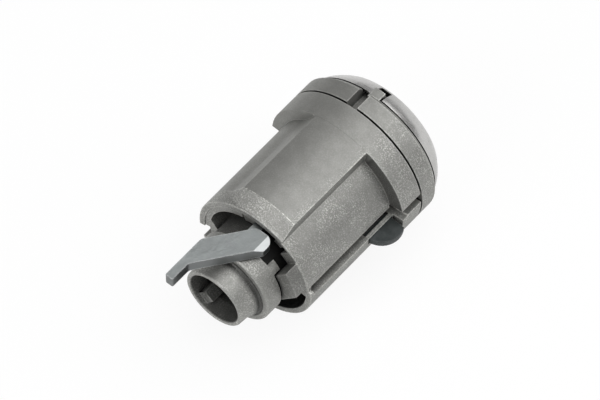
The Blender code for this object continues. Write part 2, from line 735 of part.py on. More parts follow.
def make_wafer(number, material):
    """A locking plate with a window for the key, and a shoulder for its spring."""
    half = WAFER_WIDTH / 2
    stem = WAFER_STEM_EDGE
    radius = PLUG_RADIUS - PIN_GAP / 2

    def tip(start, end, sign):
        """Points of the rounded end, which lies flush with the plug."""
        xs = [start + (end - start) * i / 6 for i in range(7)]
        return [(x, sign * math.sqrt(radius**2 - x**2)) for x in xs]

    outline = tip(-half, half, 1) + [(half, WAFER_SHOULDER), (stem, WAFER_SHOULDER)] + tip(stem, -half, -1)
    place = Matrix.Rotation(math.radians(wafer_angle(number)), 4, "Y") @ UPRIGHT
    y = wafer_y(number)
    low, high = y - WAFER_THICKNESS / 2, y + WAFER_THICKNESS / 2
    wafer = make_object(f"wafer_{number}", prism(outline, low, high, place), material, (0, y, 0))
    wide = WAFER_WINDOW_WIDTH / 2
    tall = WAFER_WINDOW_HEIGHT / 2
    window = box((-wide, low - GAP, -tall), (wide, high + GAP, tall), wafer_angle(number))
    cut(wafer, "window", window)
    return wafer


def make_wafer_spring(number, material):
    """A small coil between the plug's ledge and the wafer's shoulder."""
    turn = Matrix.Rotation(math.radians(wafer_angle(number)), 4, "Y")
    x = (WAFER_STEM_EDGE + WAFER_WIDTH / 2 + GAP) / 2
    y = wafer_y(number)
    low = turn @ Vector((x, y, -WAFER_LEDGE + WAFER_WIRE_RADIUS + PIN_GAP))
    high = turn @ Vector((x, y, WAFER_SHOULDER - WAFER_WIRE_RADIUS - PIN_GAP))
    path = helix(low, high, WAFER_SPRING_RADIUS, 4, 8)
    return coil(f"wafer_spring_{number}", material, path, WAFER_WIRE_RADIUS, 4)


def sleeve_pin_ends(extra):
    """The ends of the pin, or of its hole, which is longer by an extra at each end."""
    reach = SLEEVE_RADIUS - GAP + extra
    y = PLUG_SHOULDER - SLEEVE_PIN_INSET
    return Vector((-reach, y, 0.0)), Vector((reach, y, 0.0))


def make_drive_sleeve(material):
    """The sleeve on the plug's tail: a collar, and a spigot with a key inside for the switch."""
    rim_round = SPIGOT_RIM_ROUND
    flare_front = COLLAR_REAR - SPIGOT_ROOT_LENGTH
    profile = [
        (SLEEVE_BORE, SLEEVE_REAR + rim_round),
        (SLEEVE_BORE + rim_round, SLEEVE_REAR),
        (SPIGOT_RIM_RADIUS - rim_round, SLEEVE_REAR),
        (SPIGOT_RIM_RADIUS, SLEEVE_REAR + rim_round),
        (SPIGOT_WAIST_RADIUS, flare_front - SPIGOT_FLARE_LENGTH),
        (SPIGOT_ROOT_RADIUS, flare_front),
        (SPIGOT_ROOT_RADIUS, COLLAR_REAR - GAP),
        (SPIGOT_ROOT_RADIUS + GAP, COLLAR_REAR),
        (COLLAR_RADIUS - GAP, COLLAR_REAR),
        (COLLAR_RADIUS, COLLAR_REAR + GAP),
        (COLLAR_RADIUS, COLLAR_FRONT),
        (SLEEVE_RADIUS, COLLAR_FRONT),
        (SLEEVE_RADIUS, SLEEVE_FRONT),
        (SLEEVE_BORE, SLEEVE_FRONT),
    ]
    sleeve = make_object("drive_sleeve", turned(profile, closed=True), material)
    half = DRIVE_KEY_WIDTH / 2
    key = box(
        (-half, SLEEVE_REAR + DRIVE_KEY_INSET, SLEEVE_BORE - DRIVE_KEY_HEIGHT),
        (half, TAIL_REAR - GAP, (SLEEVE_BORE + SPIGOT_RIM_RADIUS) / 2),
        DRIVE_KEY_ANGLE,
    )
    join(sleeve, "drive_key", key)
    angles = SLEEVE_TAB_ANGLES
    tab = sector(
        COLLAR_FRONT - OVERLAP,
        COLLAR_FRONT + SLEEVE_TAB_LENGTH,
        (SLEEVE_RADIUS - GAP, *angles),
        (COLLAR_RADIUS - PIN_GAP / 4, *angles),
    )
    join(sleeve, "stop_tab", tab)
    cut(sleeve, "pin_hole", cylinder(*sleeve_pin_ends(2 * GAP), SLEEVE_PIN_RADIUS + PIN_GAP))
    return sleeve


def make_sleeve_pin(material):
    start, end = sleeve_pin_ends(0.0)
    return make_object("sleeve_pin", cylinder(start, end, SLEEVE_PIN_RADIUS, 20), material)


def ear_face(angle, height):
    """How far to the right an ear's side lies at a height above the axis."""
    return height * math.tan(math.radians(angle))


def lever_pin_ends():
    """The pin runs from ear to ear and is seated a little way into each."""
    left = ear_face(LEVER_EAR_ANGLES[0][1], LEVER_PIN_HEIGHT) - LEVER_PIN_SEAT
    right = ear_face(LEVER_EAR_ANGLES[1][0], LEVER_PIN_HEIGHT) + LEVER_PIN_SEAT
    return (
        Vector((left, LEVER_PIN_Y, LEVER_PIN_HEIGHT)),
        Vector((right, LEVER_PIN_Y, LEVER_PIN_HEIGHT)),
    )


def lever_leg_sides():
    left = ear_face(LEVER_EAR_ANGLES[0][1], LEVER_BOTTOM) + GAP
    return left, left + LEVER_LEG_WIDTH


def rounded(corners, steps=4):
    """An outline whose corners, given as (x, y, radius), are rounded off."""
    outline = []
    for i, (x, y, radius) in enumerate(corners):
        corner = Vector((x, y))
        if radius == 0.0:
            outline.append(corner)
            continue
        before = (Vector(corners[i - 1][:2]) - corner).normalized()
        after = (Vector(corners[(i + 1) % len(corners)][:2]) - corner).normalized()
        half = before.angle(after) / 2
        centre = corner + (before + after).normalized() * (radius / math.sin(half))
        start = corner + before * (radius / math.tan(half)) - centre
        end = corner + after * (radius / math.tan(half)) - centre
        sweep = start.angle_signed(end)
        for k in range(steps + 1):
            turn = Matrix.Rotation(-sweep * k / steps, 2)
            outline.append(centre + turn @ start)
    return outline


def lever_outline():
    """The plate seen from above: a finger, a slanted arm and a rounded head."""
    root = BODY_REAR - 2 * GAP
    tip = BODY_REAR - LEVER_REACH
    crank = BODY_REAR - LEVER_BEND
    lean = math.tan(math.radians(LEVER_ARM_ANGLE))
    finger = LEVER_FINGER_EDGE
    inner = finger + LEVER_FINGER_WIDTH
    across = LEVER_ARM_WIDTH / math.cos(math.radians(LEVER_ARM_ANGLE))
    elbow = crank + (inner - finger - across) / lean
    head = LEVER_HEAD_EDGE
    return rounded(
        [
            (finger, tip, GAP),
            (finger, crank, LEVER_FINGER_WIDTH),
            (finger + (root - crank) * lean, root, LEVER_HEAD_ROUND),
            (head, root, LEVER_HEAD_ROUND),
            (head, crank + (head - finger - across) / lean, LEVER_HEAD_ROUND / 2),
            (inner, elbow, LEVER_FINGER_WIDTH),
            (inner, tip, GAP),
        ]
    )


def make_lever(material):
    """A flat cranked plate that lies over the sleeve, with a leg that turns on the pin."""
    pivot = Vector((0.0, LEVER_PIN_Y, LEVER_PIN_HEIGHT))
    left, right = lever_leg_sides()
    flat = Matrix.Identity(4)
    plate = prism(lever_outline(), LEVER_BOTTOM, LEVER_BOTTOM + LEVER_THICKNESS, flat)
    lever = make_object("lever", plate, material, pivot)
    top = LEVER_BOTTOM + LEVER_THICKNESS
    slope = LEVER_BEVEL_DROP / LEVER_HEAD_BEVEL
    bevel = [
        (LEVER_HEAD_EDGE - LEVER_HEAD_BEVEL - GAP, top + GAP * slope),
        (LEVER_HEAD_EDGE + GAP, top - LEVER_BEVEL_DROP - GAP * slope),
        (LEVER_HEAD_EDGE + GAP, top + LEVER_THICKNESS),
        (LEVER_HEAD_EDGE - LEVER_HEAD_BEVEL - GAP, top + LEVER_THICKNESS),
    ]
    cut(lever, "head_bevel", prism(bevel, BODY_REAR - LEVER_REACH, BODY_REAR + OVERLAP, UPRIGHT))
    front = LEVER_PIN_Y + LEVER_PIN_RADIUS + 2 * GAP
    leg_rear = BODY_REAR - LEVER_LEG_ROOT
    leg = box((left, leg_rear, LEVER_BOTTOM), (right, front, LEVER_BOTTOM + LEVER_LEG_THICKNESS))
    join(lever, "leg", leg)
    ends = lever_pin_ends()
    cut(lever, "pin_hole", cylinder(*ends, LEVER_PIN_RADIUS + PIN_GAP))
    return lever


def make_lever_pin(material):
    start, end = lever_pin_ends()
    return make_object("lever_pin", cylinder(start, end, LEVER_PIN_RADIUS, 20), material)


def make_lever_spring(material):
    """A torsion coil on the pin, between the leg and the right ear."""
    right = lever_leg_sides()[1]
    ear = ear_face(LEVER_EAR_ANGLES[1][0], LEVER_PIN_HEIGHT - LEVER_SPRING_RADIUS - LEVER_WIRE_RADIUS)
    start = Vector((right + LEVER_WIRE_RADIUS + GAP, LEVER_PIN_Y, LEVER_PIN_HEIGHT))
    end = Vector((ear - LEVER_WIRE_RADIUS - GAP, LEVER_PIN_Y, LEVER_PIN_HEIGHT))
    return coil("lever_spring", material, helix(start, end, LEVER_SPRING_RADIUS, 3, 12), LEVER_WIRE_RADIUS)


def catch_rear():
    """Where the half disc of the catch meets its foot, behind the flange."""
    drop = CATCH_CENTRE_RADIUS - CATCH_FOOT_RADIUS
    return -CATCH_CENTRE_SETBACK - math.sqrt(CATCH_RADIUS**2 - drop**2)


def make_catch(material):
    """A half disc that stands out behind the flange and can be pressed in."""
    front = -2 * GAP
    lead = front + CATCH_CENTRE_SETBACK
    start = math.asin(lead / CATCH_RADIUS)
    end = math.asin((CATCH_CENTRE_RADIUS - CATCH_FOOT_RADIUS) / CATCH_RADIUS) + math.pi / 2
    outline = [(front, CATCH_FOOT_RADIUS)]
    for i in range(15):
        t = start - (start + end) * i / 14
        y = -CATCH_CENTRE_SETBACK + CATCH_RADIUS * math.sin(t)
        outline.append((y, CATCH_CENTRE_RADIUS + CATCH_RADIUS * math.cos(t)))
    # The outline's plane holds the barrel's axis, and its depth runs across the catch.
    plane = Matrix(((0, 0, 1, 0), (1, 0, 0, 0), (0, 1, 0, 0), (0, 0, 0, 1)))
    place = Matrix.Rotation(math.radians(CATCH_ANGLE), 4, "Y") @ plane
    half = CATCH_THICKNESS / 2
    origin = point(CATCH_FOOT_RADIUS, CATCH_ANGLE, catch_middle())
    catch = make_object("retaining_catch", prism(outline, -half, half, place), material, origin)
    bore = cylinder(
        point(CATCH_POCKET_FLOOR, CATCH_ANGLE, catch_middle()),
        point(CATCH_FOOT_RADIUS + CATCH_BORE_DEPTH, CATCH_ANGLE, catch_middle()),
        CATCH_BORE_RADIUS,
    )
    cut(catch, "spring_bore", bore)
    return catch


def catch_middle():
    return (catch_rear() - 2 * GAP) / 2


def make_catch_spring(material):
    """A coil from the pocket's floor into the catch's bore."""
    low = point(CATCH_POCKET_FLOOR + CATCH_WIRE_RADIUS + PIN_GAP, CATCH_ANGLE, catch_middle())
    bore_end = CATCH_FOOT_RADIUS + CATCH_BORE_DEPTH
    high = point(bore_end - CATCH_WIRE_RADIUS - PIN_GAP, CATCH_ANGLE, catch_middle())
    return coil("catch_spring", material, helix(low, high, CATCH_SPRING_RADIUS, 5, 8), CATCH_WIRE_RADIUS)


def main():
    clear_scene()
    zinc = make_material("cast_zinc", (0.26, 0.26, 0.25), 0.55, 0.9)
    sleeve_zinc = make_material("sleeve_zinc", (0.30, 0.30, 0.29), 0.42, 0.9)
    plate = make_material("lever_plate", (0.30, 0.32, 0.33), 0.32, 1.0)
    stainless = make_material("cap_stainless", (0.62, 0.62, 0.61), 0.22, 1.0)
    dark_steel = make_material("dark_steel", (0.07, 0.08, 0.08), 0.45, 0.8)
    brass = make_material("wafer_brass", (0.62, 0.47, 0.20), 0.35, 1.0)
    spring_steel = make_material("spring_steel", (0.40, 0.40, 0.40), 0.30, 1.0)

    make_housing(zinc)
    make_plug(zinc)
    make_plug_clip(spring_steel)
    make_face_cap(stainless)
    make_shutter(stainless)
    make_shutter_pin(spring_steel)
    make_shutter_spring(spring_steel)
    for number in range(1, WAFER_COUNT + 1):
        make_wafer(number, brass)
        make_wafer_spring(number, spring_steel)
    make_drive_sleeve(sleeve_zinc)
    make_sleeve_pin(spring_steel)
    make_lever(plate)
    make_lever_pin(spring_steel)
    make_lever_spring(spring_steel)
    make_catch(dark_steel)
    make_catch_spring(spring_steel)


main()
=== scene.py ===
"""The ignition lock barrel dressed for rendering: finishes, rounded edges, light and camera.

Metres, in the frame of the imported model: the barrel's axis is the Y axis, with the key face towards +Y.
Angles are about that axis, from +Z towards +X.
"""

import json
import math

import bmesh
import bpy
import numpy
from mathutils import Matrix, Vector


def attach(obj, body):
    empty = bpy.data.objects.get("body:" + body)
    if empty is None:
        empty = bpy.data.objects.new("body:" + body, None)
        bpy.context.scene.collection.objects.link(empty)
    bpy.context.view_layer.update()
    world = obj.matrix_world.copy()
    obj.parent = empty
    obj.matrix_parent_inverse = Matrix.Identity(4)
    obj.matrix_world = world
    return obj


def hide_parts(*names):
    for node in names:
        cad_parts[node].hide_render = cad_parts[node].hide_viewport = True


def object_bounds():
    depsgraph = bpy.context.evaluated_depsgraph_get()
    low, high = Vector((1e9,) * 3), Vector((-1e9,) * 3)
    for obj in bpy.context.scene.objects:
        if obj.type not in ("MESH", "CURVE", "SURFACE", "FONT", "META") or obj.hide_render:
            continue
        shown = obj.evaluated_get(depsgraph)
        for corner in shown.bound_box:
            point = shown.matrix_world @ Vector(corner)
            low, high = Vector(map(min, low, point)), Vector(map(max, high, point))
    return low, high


# The photograph's view, in degrees and pixels
VIEW_AZIMUTH = 39.9
VIEW_ELEVATION = 56.9
PHOTO_WIDTH_PX = 600
PHOTO_HEIGHT_PX = 400
PX_PER_METRE = 4900.0
ORIGIN_PX = (337.2, 175.4)
CAMERA_DISTANCE = 1.2
CAMERA_CLIP = (0.01, 50.0)
SENSOR_WIDTH = 36.0

# Lamps: the direction from the barrel, distance, size and power
LAMPS = {
    "key": ((0.20, 0.05, 1.0), 0.6, 0.60, 2.4),
    "side": ((0.68, 0.42, 0.58), 0.6, 0.26, 0.45),
    "back": ((0.05, 0.82, 0.56), 0.6, 0.28, 0.42),
    "fill": ((-0.1, -1.0, 0.50), 0.7, 0.45, 1.9),
}

# Floor and world. The floor keeps a little of its own shading, so that a shadow shows on it
FLOOR_SIZE = 6.0
FLOOR_LEVEL = 0.86
FLOOR_ROUGHNESS = 0.9
FLOOR_WHITE_SHARE = 0.9
WORLD_LEVEL = 0.75
WORLD_STRENGTH = 0.50

# Widths of the rounded edges, by node
EDGE_ROUNDS = {
    "housing": 0.00014,
    "plug": 0.00014,
    "face_cap": 0.00008,
    "drive_sleeve": 0.00014,
    "lever": 0.00015,
    "retaining_catch": 0.00025,
    "shutter": 0.00008,
    "plug_clip": 0.00008,
}
ROUND_SEGMENTS = 2

# Castings whose faces with hollow outlines are split before rounding, which then isn't clamped
SPLIT_NODES = ("housing", "drive_sleeve")

# Which points join, which faces count as one, and which edges are sharp
WELD_DISTANCE = 1e-6
FLAT_ANGLE = math.radians(0.6)
SHARP_ANGLE = math.radians(28)

# How much of the room beside an edge its rounding may take, where along the edge that is measured, and the
# share of the full width below which the edge stays sharp
EDGE_SHARE = 0.45
EDGE_SAMPLES = (0.1, 0.5, 0.9)
LEAST_WEIGHT = 0.25

# The face cap's crown: how far its cone swells between the skirt and the face
CAP_REAR = 0.0113
CAP_FRONT = 0.0159
CAP_FACE_RADIUS = 0.0120
CAP_SWELL = 0.00045
CAP_CUTS = 7
CUT_TOLERANCE = 1e-7

# Where the housing's casting is roughest: the sunk panel, in degrees, with what fades beside it, in radians,
# and the body behind the chamfer
PANEL_ANGLES = (24.0, 92.0)
PANEL_LOW_FADE = (-0.12, 0.06)
PANEL_HIGH_FADE = (0.2, 0.0)
CHAMFER_FRONT = -0.0226
CHAMFER_FADE = (0.0006, -0.0002)

# The bright line along the pad's chamfer: its half width, and its ends, in radians
CHAMFER_LINE = 0.00010
LINE_END = 0.03
LINE_START = (-0.9, -0.5)

# The band at the flange where the pad runs on without a worn edge: its half width, and its end
PAD_BAND = 0.0006
PAD_BAND_END = -0.02

# The flange's wall over the panel, the front of the lug behind the body, and the cavity under the lug, with
# how much painted shade darkens each
WALL_ANGLES = (30.0, 84.0)
WALL_FADE = 0.05
WALL_REACH = 0.00008
LUG_FRONT = -0.0261
LUG_FADE = 0.0001
UNDER_LUG_ANGLES = (1.75, 1.95)
CAVITY_RADIUS = 0.0134
WALL_SHADE = 0.6
LUG_SHADE = 0.35
UNDER_LUG_SHADE = 0.9

# The drive sleeve's collar and tab, the groove behind the collar and the spigot's bore, with how much
# painted shade darkens the sleeve in the housing, in the groove and in the bore
COLLAR_FRONT = -0.0296
COLLAR_REAR = -0.0338
COLLAR_FADE = 0.0001
TAB_ANGLES = (38.5, 54.5)
TAB_INNER_RADIUS = 0.00955
GROOVE_LENGTH = 0.0020
GROOVE_RADIUS = 0.0086
GROOVE_FADE = 0.0002
BORE_RADIUS = 0.0062
THIN_SHADE_ANGLES = (20.0, -5.0)
THIN_SHADE = 0.35
GROOVE_SHADE = 0.75
BORE_SHADE = 0.42

# How far outwards painted shade fades from a bore
BORE_FADE = 0.0003

# The range that most of a noise's values fall in
SPREAD = (0.3, 0.7)

# Cast zinc. Noises are scale per metre, detail and roughness, and ranges with four values map two to two
ZINC_BLUE = 0.95
ZINC_PATCHES = (230.0, 3.0, 0.5)
ZINC_CLOUD = (420.0, 4.0, 0.55)
ZINC_FINE = (3600.0, 3.0, 0.65)
ZINC_COARSE = (1500.0, 2.0, 0.6)
ZINC_METALLIC = 0.8
ZINC_ROUGHNESS = (0.3, 0.75, 0.60, 0.44)
ZINC_GRAIN_DEPTH = 0.00007
ZINC_CLOUD_DEPTH = 0.00002
# Painted shade where neighbours close a point in: how far it looks, and the openness over which it fades out
ZINC_CREVICE_SHADE = (0.0026, 0.20, 0.62)
PATCH_RANGE = (0.36, 0.68)
PATCH_FLOOR = 0.25
CLOUD_RANGE = (0.3, 0.72)
DARK_CLOUD = 0.94
LIGHT_CLOUD = 1.06
SPECKLE_RANGE = (0.46, 0.72)
SPECKLE_WHERE_ROUGH = 0.85
SPECKLE_EVERYWHERE = 0.10
COARSE_SHARE = 0.6
GRAIN_WHERE_ROUGH = 0.8
GRAIN_EVERYWHERE = 0.2
WEAR_RADIUS = 0.00045
WEAR_BEND = (0.92, 0.996)
WEAR_BREAKS = (0.38, 0.62, 0.25, 0.85)
WEAR_BRIGHTNESS = 1.1
LINE_BREAKS = (0.40, 0.62, 0.0, 0.75)
LINE_BRIGHTNESS = 1.2
# Painted shade: the grey that crevices darken to, and the darker grey of the housing's and the sleeve's
# painted shade
ZINC_SHADE_LEVEL = 0.022
ZINC_DEEP_SHADE_LEVEL = 0.012

# The greys of smooth and rough casting, and how rough a casting is all over
HOUSING_GREYS = (0.27, 0.62)
SLEEVE_GREYS = (0.28, 0.62)
SLEEVE_ROUGH = 0.55

# The lever's plated steel. Greys are a level with the red and the blue held back
LEVER_CLOUD = (260.0, 4.0, 0.6)
LEVER_FINE = (2600.0, 2.0, 0.5)
LEVER_GREYS = ((0.30, 0.95), (0.35, 0.94))
# The grey of the painted shade on faces that don't face up, the grey of worn edges and of the painted
# highlight, and the upward slope that the painted shade fades over
LEVER_SIDE_SHADE = (0.17, 0.95)
LEVER_WEAR_AND_HIGHLIGHT = (0.60, 0.98)
SIDE_SLOPE = (0.55, 0.25)
# Painted highlight on faces that turn up and towards +X: the slopes it fades in over, and its share
HIGHLIGHT_SLOPES = ((0.45, 0.60), (0.45, 0.55))
HIGHLIGHT_SHARE = 0.5
LEVER_WEAR_RADIUS = 0.0006
LEVER_WEAR_BEND = (0.75, 0.98)
LEVER_WEAR_BREAKS = (0.35, 0.6, 0.3, 0.8)
# Painted shade in the lever's corners: how far it looks, and the openness over which it fades out
LEVER_CREVICE_SHADE = (0.0015, 0.10, 0.50)
LEVER_METALLIC = 0.9
LEVER_ROUGHNESS = (0.38, 0.28)
LEVER_FINE_DEPTH = 0.00002
LEVER_CLOUD_DEPTH = 0.00008

# The cap's stainless steel
CAP_LINES = (9000.0, 2.0, 0.6)
CAP_CLOUD = (180.0, 3.0, 0.5)
CAP_GREYS = ((0.44, 1.01, 0.98), (0.54, 1.01, 0.98))
# Painted shade in the cap's corners: how far it looks, and the openness over which it fades out
CAP_CREVICE_SHADE = (0.0008, 0.10, 0.50)
CAP_ROUGHNESS = (0.20, 0.32)
CAP_LINE_DEPTH = 0.000006
CAP_CLOUD_DEPTH = 0.00010

# Painted shade in the corners of the lever and the cap
CORNER_SHADE_LEVEL = 0.05

# The catch's dark steel
CATCH_CLOUD = (500.0, 3.0, 0.5)
CATCH_FINE = (3000.0, 2.0, 0.5)
CATCH_GREYS = ((0.034, 0.84), (0.056, 0.88))
CATCH_WORN = (0.10, 0.95)
CATCH_WEAR_RADIUS = 0.0004
CATCH_WEAR_BEND = (0.8, 0.98)
CATCH_METALLIC = 0.6
CATCH_ROUGHNESS = (0.5, 0.38)
CATCH_FINE_DEPTH = 0.00002

# The wafers' brass, whose grain is stretched by these scales
BRASS_GRAIN = (1.0, 3.0, 0.6)
BRASS_SCALES = (900.0, 900.0, 6000.0)
BRASS_DARK = (0.50, 0.36, 0.13, 1.0)
BRASS_LIGHT = (0.66, 0.50, 0.22, 1.0)
BRASS_ROUGHNESS = (0.36, 0.26)
BRASS_DEPTH = 0.00001

# The springs' and pins' steel
SPRING_FINE = (4000.0, 2.0, 0.5)
SPRING_LEVELS = (0.42, 0.55)
SPRING_ROUGHNESS = (0.34, 0.24)
SPRING_DEPTH = 0.000008

# Rays per point in the nodes that look at what surrounds it
BEVEL_SAMPLES = 4
OCCLUSION_SAMPLES = 6

# Sockets of the colour mixing node, whose names repeat
MIX_SHARE, MIX_FIRST, MIX_SECOND = 0, 6, 7
MIX_COLOUR = 2


class Graph:
    """A material's node tree, with short calls for the nodes that the finishes use."""

    def __init__(self, name):
        self.material = bpy.data.materials.new(name)
        self.material.use_nodes = True
        self.tree = self.material.node_tree
        self.shader = self.tree.nodes["Principled BSDF"]
        self.place = self.node("ShaderNodeTexCoord").outputs["Object"]

    def node(self, kind, settings=None, inputs=None):
        made = self.tree.nodes.new(kind)
        for key, value in (settings or {}).items():
            setattr(made, key, value)
        for key, value in (inputs or {}).items():
            self.feed(made.inputs[key], value)
        return made

    def feed(self, socket, value):
        if isinstance(value, bpy.types.NodeSocket):
            self.tree.links.new(value, socket)
        else:
            socket.default_value = value

    def set(self, name, value):
        self.feed(self.shader.inputs[name], value)

    def maths(self, operation, a, b=0.0, clamp=False):
        settings = {"operation": operation, "use_clamp": clamp}
        return self.node("ShaderNodeMath", settings, {0: a, 1: b}).outputs[0]

    def times(self, *values):
        """Multiplies the values from first to last."""
        total = values[0]
        for value in values[1:]:
            total = self.maths("MULTIPLY", total, value)
        return total

    def without(self, value, taken):
        """A mask less the part that another one takes."""
        return self.times(value, self.maths("SUBTRACT", 1.0, taken))

    def near(self, value, centre, reach):
        """1 where a value lies within reach of a centre, and 0 elsewhere."""
        inputs = {0: value, 1: centre, 2: reach}
        return self.node("ShaderNodeMath", {"operation": "COMPARE"}, inputs).outputs[0]

    def split(self, vector):
        """The three numbers of a vector."""
        return self.node("ShaderNodeSeparateXYZ", None, {0: vector}).outputs

    def from_axis(self, xyz):
        """The distance from the barrel's axis."""
        across = self.node("ShaderNodeCombineXYZ", None, {0: xyz[0], 1: xyz[2]}).outputs[0]
        return self.node("ShaderNodeVectorMath", {"operation": "LENGTH"}, {0: across}).outputs["Value"]

    def noise(self, grain, place=None):
        scale, detail, roughness = grain
        inputs = {
            "Vector": place or self.place,
            "Scale": scale,
            "Detail": detail,
            "Roughness": roughness,
        }
        return self.node("ShaderNodeTexNoise", None, inputs).outputs["Fac"]

    def ramp(self, value, low, high, out_low=0.0, out_high=1.0):
        """Maps a value from one range to another, smoothly, and holds it there."""
        inputs = {
            "Value": value,
            "From Min": low,
            "From Max": high,
            "To Min": out_low,
            "To Max": out_high,
        }
        return self.node("ShaderNodeMapRange", {"interpolation_type": "SMOOTHSTEP"}, inputs).outputs[0]

    def blend(self, share, a, b):
        """Mixes two colours."""
        inputs = {MIX_SHARE: share, MIX_FIRST: a, MIX_SECOND: b}
        return self.node("ShaderNodeMix", {"data_type": "RGBA"}, inputs).outputs[MIX_COLOUR]

    def bump(self, height, depth, base=None):
        """A surface normal from a height, whose full range is a depth in metres."""
        inputs = {"Height": height, "Distance": depth, "Strength": 1.0}
        if base is not None:
            inputs["Normal"] = base
        return self.node("ShaderNodeBump", None, inputs).outputs["Normal"]

    def stretched(self, scales):
        """The place, scaled along each axis, for grain that runs one way."""
        inputs = {"Vector": self.place, "Scale": scales}
        return self.node("ShaderNodeMapping", None, inputs).outputs[0]

    def edges(self, radius, low, high):
        """How strongly the surface bends near a point, which shows where edges wear bright."""
        settings = {"samples": BEVEL_SAMPLES}
        rounded = self.node("ShaderNodeBevel", settings, {"Radius": radius}).outputs[0]
        flat = self.node("ShaderNodeNewGeometry").outputs["Normal"]
        product = self.node("ShaderNodeVectorMath", {"operation": "DOT_PRODUCT"}, {0: rounded, 1: flat})
        return self.ramp(product.outputs["Value"], high, low)

    def crevice_shade(self, reach, closed, opened, colour, shade_colour):
        """Paints shade into a colour where neighbours close a point in, in slots and corners."""
        settings = {"samples": OCCLUSION_SAMPLES}
        space = self.node("ShaderNodeAmbientOcclusion", settings, {"Distance": reach}).outputs["AO"]
        return self.blend(self.ramp(space, closed, opened), shade_colour, colour)


def grey(level, red=1.0, blue=1.0):
    """A grey with its red and blue held back a little, as a linear colour."""
    return (level * red, level, level * blue, 1.0)


def zinc(level):
    return grey(level, 1.0, ZINC_BLUE)


def radians(angles):
    return (math.radians(angle) for angle in angles)


def cast_zinc(name, greys, rough_everywhere=0.0, shade_pattern=None):
    """As-cast zinc: a bright speckle over grey, coarser where the die wore, with painted shade in crevices
    and where a given pattern puts it.
    """
    g = Graph(name)
    smooth_level, rough_level = greys
    xyz = g.split(g.place)
    angle = g.maths("ARCTAN2", xyz[0], xyz[2])

    low, high = radians(PANEL_ANGLES)
    left = g.ramp(angle, *(low + fade for fade in PANEL_LOW_FADE))
    right = g.ramp(angle, *(high + fade for fade in PANEL_HIGH_FADE))
    back = g.ramp(xyz[1], *(CHAMFER_FRONT + fade for fade in CHAMFER_FADE))
    rough = g.maths("MAXIMUM", g.times(left, right), back)
    rough = g.maths("MAXIMUM", rough, rough_everywhere)
    patches = g.ramp(g.noise(ZINC_PATCHES), *PATCH_RANGE)
    rough = g.times(rough, g.maths("ADD", patches, PATCH_FLOOR, clamp=True))

    cloud = g.noise(ZINC_CLOUD)
    fine = g.noise(ZINC_FINE)
    coarse = g.noise(ZINC_COARSE)
    dark, light = zinc(smooth_level * DARK_CLOUD), zinc(smooth_level * LIGHT_CLOUD)
    base = g.blend(g.ramp(cloud, *CLOUD_RANGE), dark, light)
    speckled = g.maths("ADD", g.times(rough, SPECKLE_WHERE_ROUGH), SPECKLE_EVERYWHERE)
    colour = g.blend(g.times(g.ramp(fine, *SPECKLE_RANGE), speckled), base, zinc(rough_level))

    worn = g.times(g.edges(WEAR_RADIUS, *WEAR_BEND), g.ramp(coarse, *WEAR_BREAKS))
    band = g.maths("LESS_THAN", g.maths("ABSOLUTE", xyz[1]), PAD_BAND)
    worn = g.without(worn, g.times(band, g.maths("LESS_THAN", angle, low + PAD_BAND_END)))
    colour = g.blend(worn, colour, zinc(rough_level * WEAR_BRIGHTNESS))

    at_chamfer = g.near(xyz[1], CHAMFER_FRONT, CHAMFER_LINE)
    line = g.times(at_chamfer, g.maths("LESS_THAN", angle, low + LINE_END), g.ramp(angle, *LINE_START))
    line = g.times(line, g.ramp(coarse, *LINE_BREAKS))
    colour = g.blend(line, colour, zinc(rough_level * LINE_BRIGHTNESS))

    # Painted shade in crevices and under neighbours
    colour = g.crevice_shade(*ZINC_CREVICE_SHADE, colour, zinc(ZINC_SHADE_LEVEL))
    # Painted shade where the given pattern puts it
    if shade_pattern is not None:
        colour = g.blend(shade_pattern(g, xyz, angle), colour, zinc(ZINC_DEEP_SHADE_LEVEL))
    g.set("Base Color", colour)
    g.set("Metallic", ZINC_METALLIC)
    g.set("Roughness", g.ramp(fine, *ZINC_ROUGHNESS))
    deep = g.maths("ADD", g.times(rough, GRAIN_WHERE_ROUGH), GRAIN_EVERYWHERE)
    grain = g.times(g.maths("ADD", fine, g.times(coarse, COARSE_SHARE)), deep)
    g.set("Normal", g.bump(grain, ZINC_GRAIN_DEPTH, g.bump(cloud, ZINC_CLOUD_DEPTH)))
    return g.material


def housing_painted_shade(g, xyz, angle):
    """Where painted shade darkens the housing: the wall over the panel, the lug, and the cavity under it."""
    low, high = radians(WALL_ANGLES)
    over_panel = g.times(g.ramp(angle, low, low + WALL_FADE), g.ramp(angle, high + WALL_FADE, high))
    wall = g.times(over_panel, g.near(xyz[1], 0.0, WALL_REACH))
    lug = g.ramp(xyz[1], LUG_FRONT, LUG_FRONT - LUG_FADE)
    in_cavity = g.ramp(g.from_axis(xyz), CAVITY_RADIUS + BORE_FADE, CAVITY_RADIUS)
    under = g.times(g.ramp(angle, *UNDER_LUG_ANGLES), in_cavity)
    shaded_parts = g.maths("MAXIMUM", g.times(wall, WALL_SHADE), g.times(lug, LUG_SHADE))
    return g.maths("MAXIMUM", shaded_parts, g.times(under, UNDER_LUG_SHADE))


